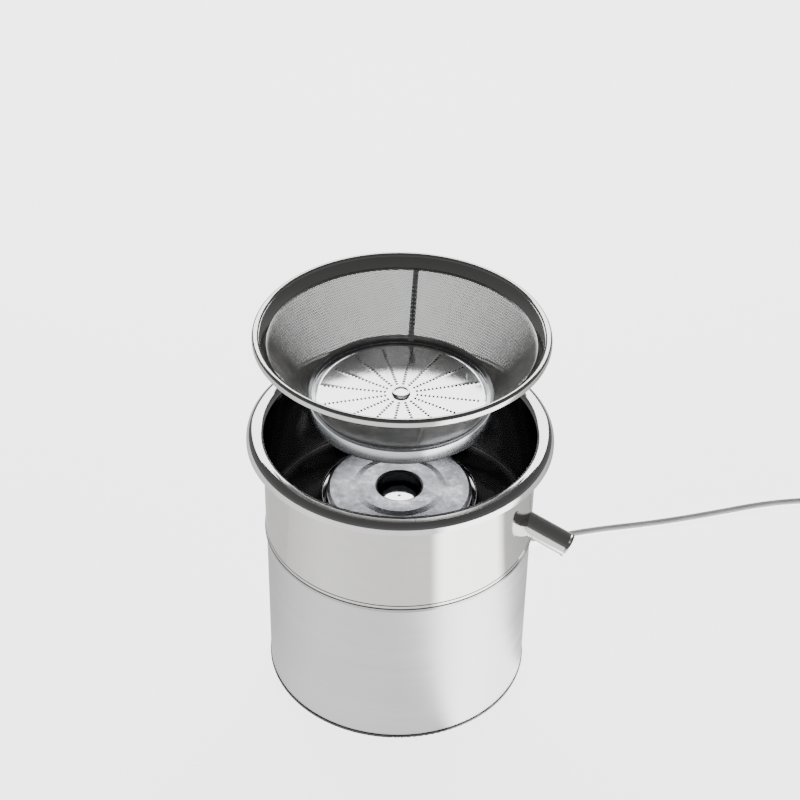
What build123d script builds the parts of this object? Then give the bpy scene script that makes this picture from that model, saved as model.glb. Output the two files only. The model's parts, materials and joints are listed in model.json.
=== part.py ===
from build123d import *
import math
import os

# Centrifugal juicer with its sieve basket raised above the open bowl.
# Millimetres, +Z up, origin on the table at the centre of the base.

# ---- driving dimensions -------------------------------------------------
RIM_Z = 240.0            # top of the bowl's rolled rim
RIM_R = 119.0            # outer radius of the rolled rim
BOWL_R = 103.8           # inside radius of the bowl wall
SHEET = 1.0              # bowl sheet thickness
SKIN_R = 106.2           # outer radius of the polished upper housing
SKIN_T = 0.8
SEAM_Z = 147.0           # bottom edge of the upper housing
DRUM_R = 105.6           # outer radius of the satin lower housing
DRUM_T = 1.0
DRUM_TOP = 143.4
FOOT_H = 6.0             # rubber feet lift the base plate off the table

FLOOR_RIM_Z = 155.0      # bowl floor at the wall
FLOOR_HUB_Z = 175.0      # bowl floor at the turntable
WALL_LOW_Z = 158.0       # the upright wall starts here, above the floor's corner
HUB_GAP_R = 61.0         # opening in the floor round the turntable
GROOVE_Z = 167.0         # bottom of the groove under the turntable
COLLAR_R = 30.0          # radius of the bowl's centre hole

TABLE_R = 57.3           # turntable radius
TABLE_TOP = 180.0
TABLE_T = 7.0
TABLE_RING_R = 33.0      # raised seat ring on the turntable
TABLE_RING_TOP = 181.7
SOCKET_R = 17.2          # socket in the middle of the turntable
SOCKET_FLOOR = 160.0
CUP_R = 23.0
CUP_BOTTOM = 157.0

SHAFT_R = 4.0
SHAFT_LOW = 19.0
BEARING_R = 11.0
BEARING_H = 7.0
UPPER_BEARING_Z = 139.0  # underside of the upper bearing
LOWER_BEARING_Z = 24.0   # underside of the lower bearing
DECK_Z = 143.5
DECK_T = 4.5

CORE_Z0 = 60.0           # laminated stack, bottom and top
CORE_Z1 = 104.0
CORE_R = 43.0
CORE_BORE_R = 23.0
ARMATURE_R = 22.4
BOLT_CIRCLE = 49.0

SPOUT_AZ = -14.0         # degrees from +X
SPOUT_SLOPE = 24.5       # degrees below level
SPOUT_Z = 165.5          # spout axis where it leaves the wall
SPOUT_OD = 19.0
SPOUT_WALL = 1.0
SPOUT_OUT = 35.0         # length outside the wall

BASKET_Z = 328.7         # top of the basket rim, raised
BASKET_LIP_R = 111.8
CONE_TOP_R = 101.2       # perforated cone, top and bottom
CONE_TOP_DZ = -8.8
CONE_LOW_R = 67.4
CONE_LOW_DZ = -57.0
CONE_T = 0.7
BAND_R = 71.5            # polished ring under the basket
BAND_TOP_DZ = -57.6
BAND_LOW_DZ = -69.8
DISC_R = 65.4
DISC_TOP_DZ = -57.7
DISC_T = 1.2
COUPLING_R = 44.0
COUPLING_LOW_DZ = -65.4
SPIGOT_R = 16.8
SPIGOT_LOW_DZ = -73.4
SEAM_AZ = (84.7, -80.0)  # two lap seams in the cone
TOOTH_ROWS = 16
TEETH_PER_ROW = 16
TOOTH_START = 15.2       # degrees from +X to the first row
TOOTH_PITCH = 3.1

SWITCH_AZ = 105.0
SWITCH_Z = 42.0
ROCKER_TILT = 7.5        # rocker leans this much either side of middle

GLAND_AZ = 55.0
GLAND_Z = 17.0
GLAND_LEN = 32.0
CORD_D = 5.5
TURN_R = 30.25           # mean radius of one turn in the stored coil
COIL_TURNS = 4.25        # two turns side by side, in up to three layers
COIL_H = 3 * CORD_D
COIL_AT = (436.0, 246.0)
PLUG_Z = 6.85            # half the plug's thickness, as it lies flat

os.makedirs("parts", exist_ok=True)


def save(name, shape):
    """Write one named piece, or group of identical pieces, as STEP."""
    shape.label = name
    export_step(shape, "parts/" + name + ".step")


def lathe(points):
    """Turn a closed (radius, height) outline about the vertical axis."""
    outline = Polyline(*[(r, 0, z) for r, z in points], close=True)
    return revolve(make_face(outline), Axis.Z, 360)


def ring(r_in, r_out, z_low, z_high):
    return lathe([(r_in, z_low), (r_out, z_low), (r_out, z_high), (r_in, z_high)])


def disc(radius, z_low, z_high):
    return Pos(0, 0, (z_low + z_high) / 2) * Cylinder(radius, z_high - z_low)


def post(radius, x, y, z_low, z_high):
    return Pos(x, y, (z_low + z_high) / 2) * Cylinder(radius, z_high - z_low)


def around(count, radius, start=0.0):
    """Points on a circle, counted anticlockwise from +X."""
    for k in range(count):
        a = math.radians(start + 360.0 * k / count)
        yield radius * math.cos(a), radius * math.sin(a)


# ---- lower housing, base and feet ---------------------------------------
def radial_frame(azimuth, radius, height):
    """Frame on a vertical wall: +Z points outward, +Y points up."""
    a = math.radians(azimuth)
    out = (math.cos(a), math.sin(a), 0)
    side = (-math.sin(a), math.cos(a), 0)
    origin = (radius * out[0], radius * out[1], height)
    return Plane(origin=origin, x_dir=side, z_dir=out)


def lower_housing():
    floor_z = FOOT_H + 3.0
    shell = lathe([
        (DRUM_R - DRUM_T, floor_z), (DRUM_R, floor_z), (DRUM_R, DRUM_TOP),
        (97.0, DRUM_TOP), (97.0, DRUM_TOP - DRUM_T),
        (DRUM_R - DRUM_T, DRUM_TOP - DRUM_T),
    ])
    corner = [e for e in shell.edges().filter_by(GeomType.CIRCLE)
              if abs(e.radius - DRUM_R) < 0.01 and e.center().Z > DRUM_TOP - 0.1]
    shell = fillet(corner, 0.8)
    window = radial_frame(SWITCH_AZ, DRUM_R, SWITCH_Z) * Box(13.4, 19.4, 8)
    gland_hole = radial_frame(GLAND_AZ, DRUM_R, GLAND_Z) * Cylinder(5.05, 12)
    shell = shell - window - gland_hole
    for x, y in around(4, 100.5, 20):
        shell = shell - post(2.1, x, y, DRUM_TOP - 3, DRUM_TOP + 1)
    return shell


def base_plate():
    plate = disc(DRUM_R - DRUM_T - 0.2, FOOT_H, FOOT_H + 3.0)
    flange = ring(DRUM_R - DRUM_T - 0.3, DRUM_R + 0.6, FOOT_H, FOOT_H + 3.0)
    lip = ring(DRUM_R - DRUM_T - 3.2, DRUM_R - DRUM_T - 0.2, FOOT_H + 2.9, FOOT_H + 9.0)
    plate = plate + flange + lip
    low_edge = [e for e in plate.edges().filter_by(GeomType.CIRCLE)
                if e.radius > DRUM_R and e.center().Z < FOOT_H + 0.1]
    plate = fillet(low_edge, 1.2)
    gland_room = radial_frame(GLAND_AZ, DRUM_R - 3, GLAND_Z) * Cylinder(8.3, 8)
    plate = plate - gland_room
    # air slots under the motor, in two rings
    for count, radius, start in ((10, 30.0, 0.0), (16, 46.0, 11.0)):
        for k in range(count):
            slot = Pos(radius, 0, FOOT_H + 1.5) * Box(10, 3.2, 8)
            plate = plate - Rot(0, 0, start + 360.0 * k / count) * slot
    for x, y in around(4, 84.0, 45):
        plate = plate - post(2.25, x, y, FOOT_H - 2, FOOT_H + 6)
    return plate


def foot(x, y):
    """Round rubber foot with a recess for its screw and a stem."""
    body = lathe([(2.3, 3.2), (5.2, 3.2), (5.2, 0), (8.6, 0), (10.0, FOOT_H), (2.3, FOOT_H)])
    return Pos(x, y, 0) * body


def foot_screw(x, y):
    head = Pos(0, 0, 2.1) * Cylinder(4.2, 2.2)
    shank = Pos(0, 0, 8.1) * Cylinder(2.2, 9.8)
    slot = Pos(0, 0, 1.2) * Box(1.0, 6.0, 1.2)
    return Pos(x, y, 0) * (head + shank - slot)


def base_pillars():
    """Tapped pillars that tie the base plate to the deck."""
    group = []
    for x, y in around(4, 84.0, 45):
        pillar = post(5.0, x, y, FOOT_H + 3.0, DECK_Z)
        bore = post(2.25, x, y, FOOT_H + 2.0, FOOT_H + 9.0)
        group.append(pillar - bore)
    return Compound(children=group)


# ---- upper housing and bowl ---------------------------------------------
def seam_ring():
    body = ring(DRUM_R - 0.9, SKIN_R + 0.9, DRUM_TOP, SEAM_Z - 0.2)
    rims = [e for e in body.edges().filter_by(GeomType.CIRCLE) if e.radius > SKIN_R]
    return fillet(rims, 0.9)


def spout_axis():
    a = math.radians(SPOUT_AZ)
    s = math.radians(SPOUT_SLOPE)
    heading = Vector(math.cos(a) * math.cos(s), math.sin(a) * math.cos(s), -math.sin(s))
    start = Vector(SKIN_R * math.cos(a), SKIN_R * math.sin(a), SPOUT_Z)
    return start, heading


def spout_rod(radius, before, after):
    """Round bar on the spout axis, measured from the outer wall."""
    start, heading = spout_axis()
    low = start - heading * before
    frame = Plane(origin=low, z_dir=heading)
    return extrude(frame * Circle(radius), before + after)


def upper_housing():
    top = RIM_Z - 4.95
    skin = lathe([
        (SKIN_R - SKIN_T, SEAM_Z), (SKIN_R, SEAM_Z), (SKIN_R, top), (SKIN_R - SKIN_T, top),
    ])
    hem = ring(SKIN_R - SKIN_T, SKIN_R + 0.5, SEAM_Z, SEAM_Z + 2.4)
    skin = skin + hem
    outer = [e for e in skin.edges().filter_by(GeomType.CIRCLE) if e.radius > SKIN_R + 0.3]
    skin = fillet(outer, 0.45)
    return skin - spout_rod(SPOUT_OD / 2 + 0.15, 14, 14)


def bowl_roll():
    """Half-round rolled rim of the bowl, open underneath."""
    roll_r = (RIM_R - BOWL_R) / 2
    cx = BOWL_R + roll_r
    cz = RIM_Z - roll_r
    hem = RIM_R - SHEET
    over = ThreePointArc((BOWL_R, 0, cz), (cx, 0, RIM_Z), (RIM_R, 0, cz))
    under = ThreePointArc((hem, 0, cz), (cx, 0, RIM_Z - SHEET), (BOWL_R + SHEET, 0, cz))
    skirt = Polyline((RIM_R, 0, cz), (RIM_R, 0, cz - 2.2), (hem, 0, cz - 2.2), (hem, 0, cz))
    foot_edge = Line((BOWL_R + SHEET, 0, cz), (BOWL_R, 0, cz))
    return revolve(make_face([over, skirt, under, foot_edge]), Axis.Z, 360)


def bowl_wall():
    """Upright wall of the bowl, between its floor and its rolled rim."""
    roll_low = RIM_Z - (RIM_R - BOWL_R) / 2
    wall = ring(BOWL_R, BOWL_R + SHEET, WALL_LOW_Z, roll_low)
    return wall - spout_rod(SPOUT_OD / 2 - SPOUT_WALL, 10, 10)


def collector_bowl():
    """Sloping floor of the bowl with the groove under the turntable."""
    floor = lathe([
        (BOWL_R, WALL_LOW_Z),
        (BOWL_R + SHEET, WALL_LOW_Z),
        (BOWL_R + SHEET, FLOOR_RIM_Z + 1.0),
        (BOWL_R - 1.2, FLOOR_RIM_Z - SHEET),
        (HUB_GAP_R + SHEET, FLOOR_HUB_Z - SHEET - 0.6),
        (HUB_GAP_R + SHEET, GROOVE_Z - SHEET),
        (COLLAR_R, GROOVE_Z - SHEET),
        (COLLAR_R, GROOVE_Z + 3.0),
        (COLLAR_R + SHEET, GROOVE_Z + 3.0),
        (COLLAR_R + SHEET, GROOVE_Z),
        (HUB_GAP_R, GROOVE_Z),
        (HUB_GAP_R, FLOOR_HUB_Z),
        (BOWL_R - 2.0, FLOOR_RIM_Z),
        (BOWL_R, FLOOR_RIM_Z + 2.0),
    ])
    return floor - spout_rod(SPOUT_OD / 2 - SPOUT_WALL, 10, 10)


def spout_tube():
    start_back = 7.0
    tube = spout_rod(SPOUT_OD / 2, start_back, SPOUT_OUT)
    start, heading = spout_axis()
    bead_frame = Plane(origin=start + heading * (SPOUT_OUT - 2.4), z_dir=heading)
    bead = extrude(bead_frame * Circle(SPOUT_OD / 2 + 0.6), 2.4)
    bead = fillet(bead.edges().filter_by(GeomType.CIRCLE), 0.55)
    tube = tube + bead
    tube = tube - spout_rod(SPOUT_OD / 2 - SPOUT_WALL, start_back + 5, SPOUT_OUT + 5)
    return tube - disc(BOWL_R + SHEET + 0.01, SPOUT_Z - 40, SPOUT_Z + 40)


# ---- motor deck and motor ------------------------------------------------
def motor_deck():
    """Cast deck: plate, tower under the bowl and seat for the bearing."""
    tower = DECK_Z + DECK_T
    deck = lathe([
        (SHAFT_R + 1.0, UPPER_BEARING_Z + BEARING_H), (BEARING_R, UPPER_BEARING_Z + BEARING_H),
        (BEARING_R, UPPER_BEARING_Z - 1.0), (16.0, UPPER_BEARING_Z - 1.0), (16.0, DECK_Z),
        (DRUM_R - DRUM_T - 0.9, DECK_Z), (DRUM_R - DRUM_T - 0.9, tower),
        (36.0, tower), (36.0, GROOVE_Z - 4.0), (27.0, GROOVE_Z - 4.0), (27.0, tower + 2.0),
        (SHAFT_R + 1.0, tower + 2.0),
    ])
    for k in range(8):
        rib = Pos(65.0, 0, DECK_Z - 3.0) * Box(56.0, 2.6, 6.4)
        deck = deck + Rot(0, 0, 22.5 + 45.0 * k) * rib
    for x, y in around(4, BOLT_CIRCLE, 45):
        deck = deck - post(3.2, x, y, DECK_Z - 1, tower + 1)
    for x, y in around(4, 100.5, 20):
        deck = deck - post(1.6, x, y, DECK_Z - 1, tower - 1.0)
    return deck


def deck_screws():
    """Four screws up through the housing flange into the deck."""
    group = []
    for x, y in around(4, 100.5, 20):
        shank = post(1.55, x, y, DRUM_TOP - DRUM_T - 0.1, DECK_Z + 3.2)
        head = post(3.0, x, y, DRUM_TOP - DRUM_T - 2.1, DRUM_TOP - DRUM_T)
        group.append(shank + head)
    return Compound(children=group)


def bowl_gasket():
    """Soft ring that seals the bowl floor on the deck tower."""
    return ring(30.5, 35.5, GROOVE_Z - 4.0, GROOVE_Z - SHEET)


def shaft_seal():
    return ring(SHAFT_R + 0.1, 12.0, DECK_Z + DECK_T + 2.0, DECK_Z + DECK_T + 5.0)


def bearing(z_low):
    """Ball bearing, drawn as its sealed outline."""
    body = ring(SHAFT_R + 0.03, BEARING_R - 0.02, z_low, z_low + BEARING_H)
    groove_up = ring(6.2, 9.0, z_low + BEARING_H - 0.4, z_low + BEARING_H + 1)
    groove_low = ring(6.2, 9.0, z_low - 1, z_low + 0.4)
    return body - groove_up - groove_low


def field_core():
    """Stack of stator laminations with two pole gaps for the coils."""
    stack = disc(CORE_R, CORE_Z0, CORE_Z1) - disc(CORE_BORE_R, CORE_Z0 - 1, CORE_Z1 + 1)
    for side in (0, 180):
        pocket = ring(CORE_BORE_R - 1, 34.0, CORE_Z0 - 1, CORE_Z1 + 1)
        wedge = Rot(0, 0, side) * (Pos(40, 0, (CORE_Z0 + CORE_Z1) / 2) * Box(80, 30, 80))
        stack = stack - (pocket & wedge)
    return stack


def field_windings():
    """Two field coils, one in each pole gap, bulging past the stack."""
    group = []
    for side in (0, 180):
        body = ring(CORE_BORE_R + 1.2, 33.6, CORE_Z0 - 7.0, CORE_Z1 + 6.0)
        wedge = Rot(0, 0, side) * (Pos(40, 0, (CORE_Z0 + CORE_Z1) / 2) * Box(80, 29.0, 90))
        coil = body & wedge
        group.append(coil.solids()[0])
    return Compound(children=group)


def lower_bracket():
    """Cross-shaped bracket with the lower bearing seat."""
    seat = ring(BEARING_R, 15.0, LOWER_BEARING_Z - 1.0, LOWER_BEARING_Z + BEARING_H)
    lip = ring(SHAFT_R + 1.5, 15.0, LOWER_BEARING_Z - 2.5, LOWER_BEARING_Z)
    bracket = seat + lip
    for k in range(4):
        arm = Pos(34.0, 0, LOWER_BEARING_Z + 2.0) * Box(42.0, 9.0, 4.0)
        pad = Pos(BOLT_CIRCLE, 0, LOWER_BEARING_Z + 2.0) * Cylinder(7.0, 4.0)
        bracket = bracket + Rot(0, 0, 45 + 90 * k) * (arm + pad)
    for x, y in around(4, BOLT_CIRCLE, 45):
        bracket = bracket - post(2.6, x, y, LOWER_BEARING_Z - 4, LOWER_BEARING_Z + 9)
    return bracket


def upper_bracket():
    """Flat spider that clamps the top of the laminated stack."""
    hoop = ring(36.0, 55.0, CORE_Z1, CORE_Z1 + 3.0)
    for x, y in around(4, BOLT_CIRCLE, 45):
        hoop = hoop - post(2.6, x, y, CORE_Z1 - 1, CORE_Z1 + 5)
    return hoop


def motor_bolts():
    """Four long bolts: lower bracket, stack clamp, rubber bush, deck."""
    group = []
    for x, y in around(4, BOLT_CIRCLE, 45):
        shank = post(2.5, x, y, LOWER_BEARING_Z - 2.0, DECK_Z + DECK_T + 3.5)
        head = post(4.5, x, y, LOWER_BEARING_Z - 3.5, LOWER_BEARING_Z)
        nut = post(4.6, x, y, DECK_Z + DECK_T + 1.0, DECK_Z + DECK_T + 4.5)
        group.append(shank + head + nut)
    return Compound(children=group)


def spacer_tubes():
    """Tubes on the bolts between lower bracket and upper bracket."""
    group = []
    for x, y in around(4, BOLT_CIRCLE, 45):
        tube = post(4.0, x, y, LOWER_BEARING_Z + 4.0, CORE_Z1) - post(2.55, x, y, 10, 120)
        group.append(tube)
    return Compound(children=group)


def vibration_bushes():
    """Rubber bushes between upper bracket and deck, flanged over it."""
    group = []
    for x, y in around(4, BOLT_CIRCLE, 45):
        low = post(7.0, x, y, CORE_Z1 + 3.0, DECK_Z)
        neck = post(3.15, x, y, DECK_Z - 0.1, DECK_Z + DECK_T)
        flange = post(6.0, x, y, DECK_Z + DECK_T, DECK_Z + DECK_T + 1.0)
        bore = post(2.55, x, y, 90, 160)
        group.append(low + neck + flange - bore)
    return Compound(children=group)


def brush_holders():
    group = []
    for side in (0, 180):
        tube = Pos(23.0, 0, 45.0) * Box(18.0, 9.0, 11.0) - Pos(20.0, 0, 45.0) * Box(20.0, 5.2, 7.2)
        foot_pad = Pos(22.0, 0, 38.0) * Box(12.0, 9.0, 3.2)
        stem = Pos(22.0, 0, 33.0) * Box(8.0, 6.0, 8.0)
        link = Pos(17.0, 0, 28.5) * Box(14.0, 6.0, 3.0)
        group.append(Rot(0, 0, side) * (tube + foot_pad + stem + link - disc(15.05, 20, 32)))
    return Compound(children=group)


def carbon_brushes():
    group = []
    for side in (0, 180):
        block = Pos(20.0, 0, 45.0) * Box(15.0, 5.0, 7.0) - disc(12.05, 30, 60)
        group.append(Rot(0, 0, side) * block)
    return Compound(children=group)


# ---- rotor ---------------------------------------------------------------
def motor_shaft():
    shaft = disc(SHAFT_R, SHAFT_LOW, SOCKET_FLOOR + 5.0)
    ends = [e for e in shaft.edges().filter_by(GeomType.CIRCLE)]
    return chamfer(ends, 0.5)


def armature_core():
    core = disc(ARMATURE_R, CORE_Z0, CORE_Z1) - disc(SHAFT_R, CORE_Z0 - 1, CORE_Z1 + 1)
    for k in range(12):
        slot = Pos(ARMATURE_R - 4.0, 0, (CORE_Z0 + CORE_Z1) / 2) * Box(12.0, 2.4, 60.0)
        core = core - Rot(0, 0, 30.0 * k) * slot
    return core


def armature_windings():
    """End turns of the armature coils, above and below the core."""
    low = ring(SHAFT_R, 19.5, CORE_Z0 - 7.0, CORE_Z0)
    high = ring(SHAFT_R, 19.5, CORE_Z1, CORE_Z1 + 7.0)
    caps = [fillet([e for e in body.edges().filter_by(GeomType.CIRCLE) if e.radius > 19], 2.5)
            for body in (low, high)]
    return Compound(children=caps)


def commutator():
    body = disc(12.0, 38.0, 52.0) - disc(SHAFT_R, 30, 60)
    for k in range(24):
        cut = Pos(12.0, 0, 45.0) * Box(1.2, 0.6, 16.0)
        body = body - Rot(0, 0, 15.0 * k) * cut
    return body


def cooling_fan():
    """Fan on the shaft between stack and deck, with curved-back blades."""
    hub = disc(9.0, 113.0, 127.0) - disc(SHAFT_R, 100, 140)
    plate = ring(8.0, 34.0, 113.0, 114.6)
    fan = hub + plate
    for k in range(11):
        blade = Pos(21.0, 0, 120.0) * Rot(0, 0, 24) * Box(24.0, 1.4, 11.8)
        fan = fan + Rot(0, 0, 360.0 * k / 11) * blade
    return fan


def turntable():
    """Cast turntable that carries the basket, with its socket cup."""
    low = TABLE_TOP - TABLE_T
    body = lathe([
        (SHAFT_R, CUP_BOTTOM), (CUP_R, CUP_BOTTOM), (CUP_R, low), (TABLE_R - 1.5, low),
        (TABLE_R, low + 1.5), (TABLE_R, TABLE_TOP - 1.2), (TABLE_R - 1.2, TABLE_TOP),
        (TABLE_RING_R + 1.2, TABLE_TOP), (TABLE_RING_R, TABLE_RING_TOP - 0.3),
        (TABLE_RING_R - 0.5, TABLE_RING_TOP), (SOCKET_R + 1.4, TABLE_RING_TOP),
        (SOCKET_R, TABLE_RING_TOP - 1.4), (SOCKET_R, SOCKET_FLOOR), (SHAFT_R, SOCKET_FLOOR),
    ])
    return body


def spindle_cap():
    """Round steel nut on the shaft end, with a slightly domed top."""
    base = SOCKET_FLOOR
    cap = disc(14.0, base, base + 9.4)
    dome = Pos(0, 0, base + 9.4 - 90.0) * Sphere(91.0) & disc(13.4, base + 8.0, base + 12.0)
    cap = cap + dome
    cap = cap - disc(SHAFT_R, base - 1, base + 5.2)
    return cap - disc(1.3, base + 7.0, base + 14.0)


# ---- sieve basket (basket_lift body) -------------------------------------
def basket_rim():
    """Rolled lip and the plain steel band that holds the mesh."""
    z = BASKET_Z
    lip = ring(BASKET_LIP_R - 5.2, BASKET_LIP_R, z - 6.2, z)
    circles = lip.edges().filter_by(GeomType.CIRCLE)
    lip = fillet([e for e in circles if e.center().Z > z - 0.1], 2.2)
    low = [e for e in lip.edges().filter_by(GeomType.CIRCLE)
           if e.radius > BASKET_LIP_R - 0.1 and e.center().Z < z - 6.1]
    lip = fillet(low, 1.4)
    slope = (CONE_TOP_R - CONE_LOW_R) / (CONE_TOP_DZ - CONE_LOW_DZ)
    drop = CONE_TOP_DZ - 2.0
    r_low = CONE_TOP_R - 2.0 * slope
    band = lathe([
        (BASKET_LIP_R - 4.6, z - 1.0), (BASKET_LIP_R - 3.0, z - 2.2),
        (CONE_TOP_R + 1.75, z + CONE_TOP_DZ), (r_low + 1.75, z + drop), (r_low + 0.9, z + drop),
        (CONE_TOP_R + 0.9, z + CONE_TOP_DZ), (CONE_TOP_R, z + CONE_TOP_DZ),
    ])
    return lip + band


def cone_wall(r_in_extra, thickness, dz_top, dz_low):
    """Outline of a strip lying along the cone between two heights."""
    slope = (CONE_TOP_R - CONE_LOW_R) / (CONE_TOP_DZ - CONE_LOW_DZ)
    r_top = CONE_TOP_R + (dz_top - CONE_TOP_DZ) * slope + r_in_extra
    r_low = CONE_TOP_R + (dz_low - CONE_TOP_DZ) * slope + r_in_extra
    return [
        (r_top, BASKET_Z + dz_top), (r_top + thickness, BASKET_Z + dz_top),
        (r_low + thickness, BASKET_Z + dz_low), (r_low, BASKET_Z + dz_low),
    ]


def sieve_cone():
    return lathe(cone_wall(0.0, CONE_T + 0.15, CONE_TOP_DZ - 0.05, CONE_LOW_DZ))


def seam_strips():
    """Lap strips over the two joints of the perforated sheet, inside."""
    wall = lathe(cone_wall(-0.6, 0.55, CONE_TOP_DZ - 1.0, CONE_LOW_DZ + 1.0))
    group = []
    for az in SEAM_AZ:
        block = Pos(85.0, 0, BASKET_Z - 33) * Box(60.0, 5.4, 80.0)
        group.append((wall & Rot(0, 0, az) * block).solids()[0])
    return Compound(children=group)


def seam_welds():
    """Spot welds that show as a dotted line outside each joint."""
    slope = (CONE_TOP_R - CONE_LOW_R) / (CONE_TOP_DZ - CONE_LOW_DZ)
    group = []
    for az in SEAM_AZ:
        for k in range(12):
            dz = CONE_TOP_DZ - 5.0 - 3.6 * k
            r = CONE_TOP_R + (dz - CONE_TOP_DZ) * slope + CONE_T + 0.15
            a = math.radians(az)
            heading = Vector(math.cos(a), math.sin(a), -slope)
            spot = Plane(origin=(r * math.cos(a), r * math.sin(a), BASKET_Z + dz), z_dir=heading)
            group.append(spot * Pos(0, 0, 0.2) * Cylinder(0.65, 0.4))
    return Compound(children=group)


def basket_ring():
    """Polished ring under the basket, with the ledge the disc sits on."""
    z = BASKET_Z
    body = lathe([
        (BAND_R - 1.0, z + BAND_LOW_DZ), (BAND_R, z + BAND_LOW_DZ), (BAND_R, z + BAND_TOP_DZ - 1.4),
        (BAND_R - 0.5, z + BAND_TOP_DZ - 0.4), (BAND_R - 1.4, z + BAND_TOP_DZ),
        (CONE_LOW_R + 1.0, z + BAND_TOP_DZ), (CONE_LOW_R + 1.0, z + CONE_LOW_DZ - 0.02),
        (CONE_LOW_R, z + CONE_LOW_DZ - 0.02), (CONE_LOW_R - 0.4, z + DISC_TOP_DZ - DISC_T),
        (58.0, z + DISC_TOP_DZ - DISC_T), (58.0, z + DISC_TOP_DZ - DISC_T - 1.0),
        (CONE_LOW_R, z + DISC_TOP_DZ - DISC_T - 1.0), (BAND_R - 1.0, z + BAND_TOP_DZ - 3.0),
    ])
    return body


def grater_disc():
    """Shredding disc with rows of small punched teeth."""
    z = BASKET_Z + DISC_TOP_DZ
    plate = disc(DISC_R, z - DISC_T, z)
    edge = [e for e in plate.edges().filter_by(GeomType.CIRCLE) if e.center().Z > z - 0.1]
    plate = fillet(edge, 0.5)
    teeth = []
    for row in range(TOOTH_ROWS):
        for k in range(TEETH_PER_ROW):
            r = 12.5 + TOOTH_PITCH * k
            tooth = Pos(r, 0, z + 0.3) * Rot(0, 12, 0) * Box(1.5, 1.1, 1.2)
            teeth.append(Rot(0, 0, TOOTH_START + 360.0 * row / TOOTH_ROWS) * tooth)
    return plate.fuse(*teeth)


def disc_boss():
    """Low round cap in the middle of the shredding disc."""
    z = BASKET_Z + DISC_TOP_DZ
    cap = disc(7.2, z, z + 2.2)
    top = [e for e in cap.edges().filter_by(GeomType.CIRCLE) if e.center().Z > z + 2]
    cap = fillet(top, 1.0)
    return cap - Pos(0, 0, z + 2.2) * Box(8.0, 2.0, 1.2)


def basket_coupling():
    """Seat under the disc with the spigot that enters the socket."""
    z = BASKET_Z
    top = z + DISC_TOP_DZ - DISC_T
    body = lathe([
        (0, top), (COUPLING_R, top), (COUPLING_R, top - 2.4), (35.0, z + COUPLING_LOW_DZ),
        (SPIGOT_R, z + COUPLING_LOW_DZ), (SPIGOT_R, z + SPIGOT_LOW_DZ + 1.0),
        (SPIGOT_R - 1.0, z + SPIGOT_LOW_DZ), (0, z + SPIGOT_LOW_DZ),
    ])
    return body


# ---- switch --------------------------------------------------------------
def switch_case():
    frame = radial_frame(SWITCH_AZ, DRUM_R, SWITCH_Z)
    bezel = frame * Pos(0, 0, 1.25) * Box(15.6, 21.6, 1.7)
    body = frame * Pos(0, 0, -7.0) * Box(13.0, 19.0, 16.0)
    well = frame * Pos(0, 0, -0.4) * Box(10.8, 16.6, 7.8)
    axle = frame * Pos(0, 0, -1.0) * (Rot(0, 90, 0) * Cylinder(1.06, 12.4))
    return bezel + body - well - axle


def switch_rocker():
    """Rocker with its cross axle, leaning to the off side."""
    frame = radial_frame(SWITCH_AZ, DRUM_R, SWITCH_Z)
    block = Pos(0, 0, 0.9) * Box(10.1, 15.0, 4.6)
    valley = Pos(0, 0, 24.9) * (Rot(0, 90, 0) * Cylinder(22.6, 20))
    rocker = block - valley
    axle = Rot(0, 90, 0) * Cylinder(1.0, 12.0)
    rocker = rocker + axle
    return frame * Pos(0, 0, -1.0) * Rot(ROCKER_TILT, 0, 0) * rocker


def switch_terminals():
    frame = radial_frame(SWITCH_AZ, DRUM_R, SWITCH_Z)
    group = []
    for y in (-5.0, 5.0):
        group.append(frame * Pos(0, y, -19.0) * Box(4.8, 0.8, 8.0))
    return Compound(children=group)


# ---- wiring and cord -----------------------------------------------------
def terminal_block():
    body = Pos(40, 62, FOOT_H + 9.0) * Rot(0, 0, 57) * Box(24.0, 12.0, 12.0)
    for k in (-1, 1):
        hole = Pos(40, 62, FOOT_H + 14.0) * Rot(0, 0, 57) * Pos(6.0 * k, 0, 0) * Cylinder(1.6, 6.0)
        body = body - hole
    return body


def unit(azimuth):
    a = math.radians(azimuth)
    return Vector(math.cos(a), math.sin(a), 0)


def cord_gland():
    """Tapered strain relief clipped into the housing wall."""
    frame = radial_frame(GLAND_AZ, DRUM_R, GLAND_Z)
    sleeve = frame * Pos(0, 0, GLAND_LEN / 2) * Cone(5.6, 3.9, GLAND_LEN)
    collar = frame * Pos(0, 0, 1.4) * Cylinder(7.6, 1.6)
    neck = frame * Pos(0, 0, -2.5) * Cylinder(5.0, 8.0)
    inner = frame * Pos(0, 0, -5.4) * Cylinder(6.4, 5.6)
    gland = sleeve + collar + neck + inner
    for k in range(5):
        groove = frame * Pos(0, 0, 7.5 + 5.0 * k) * Cylinder(8, 1.4)
        core = frame * Pos(0, 0, 7.5 + 5.0 * k) * Cylinder(3.6, 1.6)
        gland = gland - (groove - core)
    return gland


def cord_route():
    """Centre line of the free cord from the gland to the coil."""
    out = unit(GLAND_AZ)
    exit_r = DRUM_R + GLAND_LEN
    rest = CORD_D / 2
    return [
        (out.X * exit_r, out.Y * exit_r, GLAND_Z),
        (out.X * (exit_r + 24), out.Y * (exit_r + 24), GLAND_Z),
        (126.0, 142.0, rest + 2.0),
        (176.0, 160.0, rest),
        (236.0, 172.0, rest),
        (292.0, 188.0, rest),
        (342.0, 204.0, rest),
        (389.0, 211.0, rest),
        (COIL_AT[0], COIL_AT[1] - TURN_R - CORD_D / 2, rest),
    ]


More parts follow.
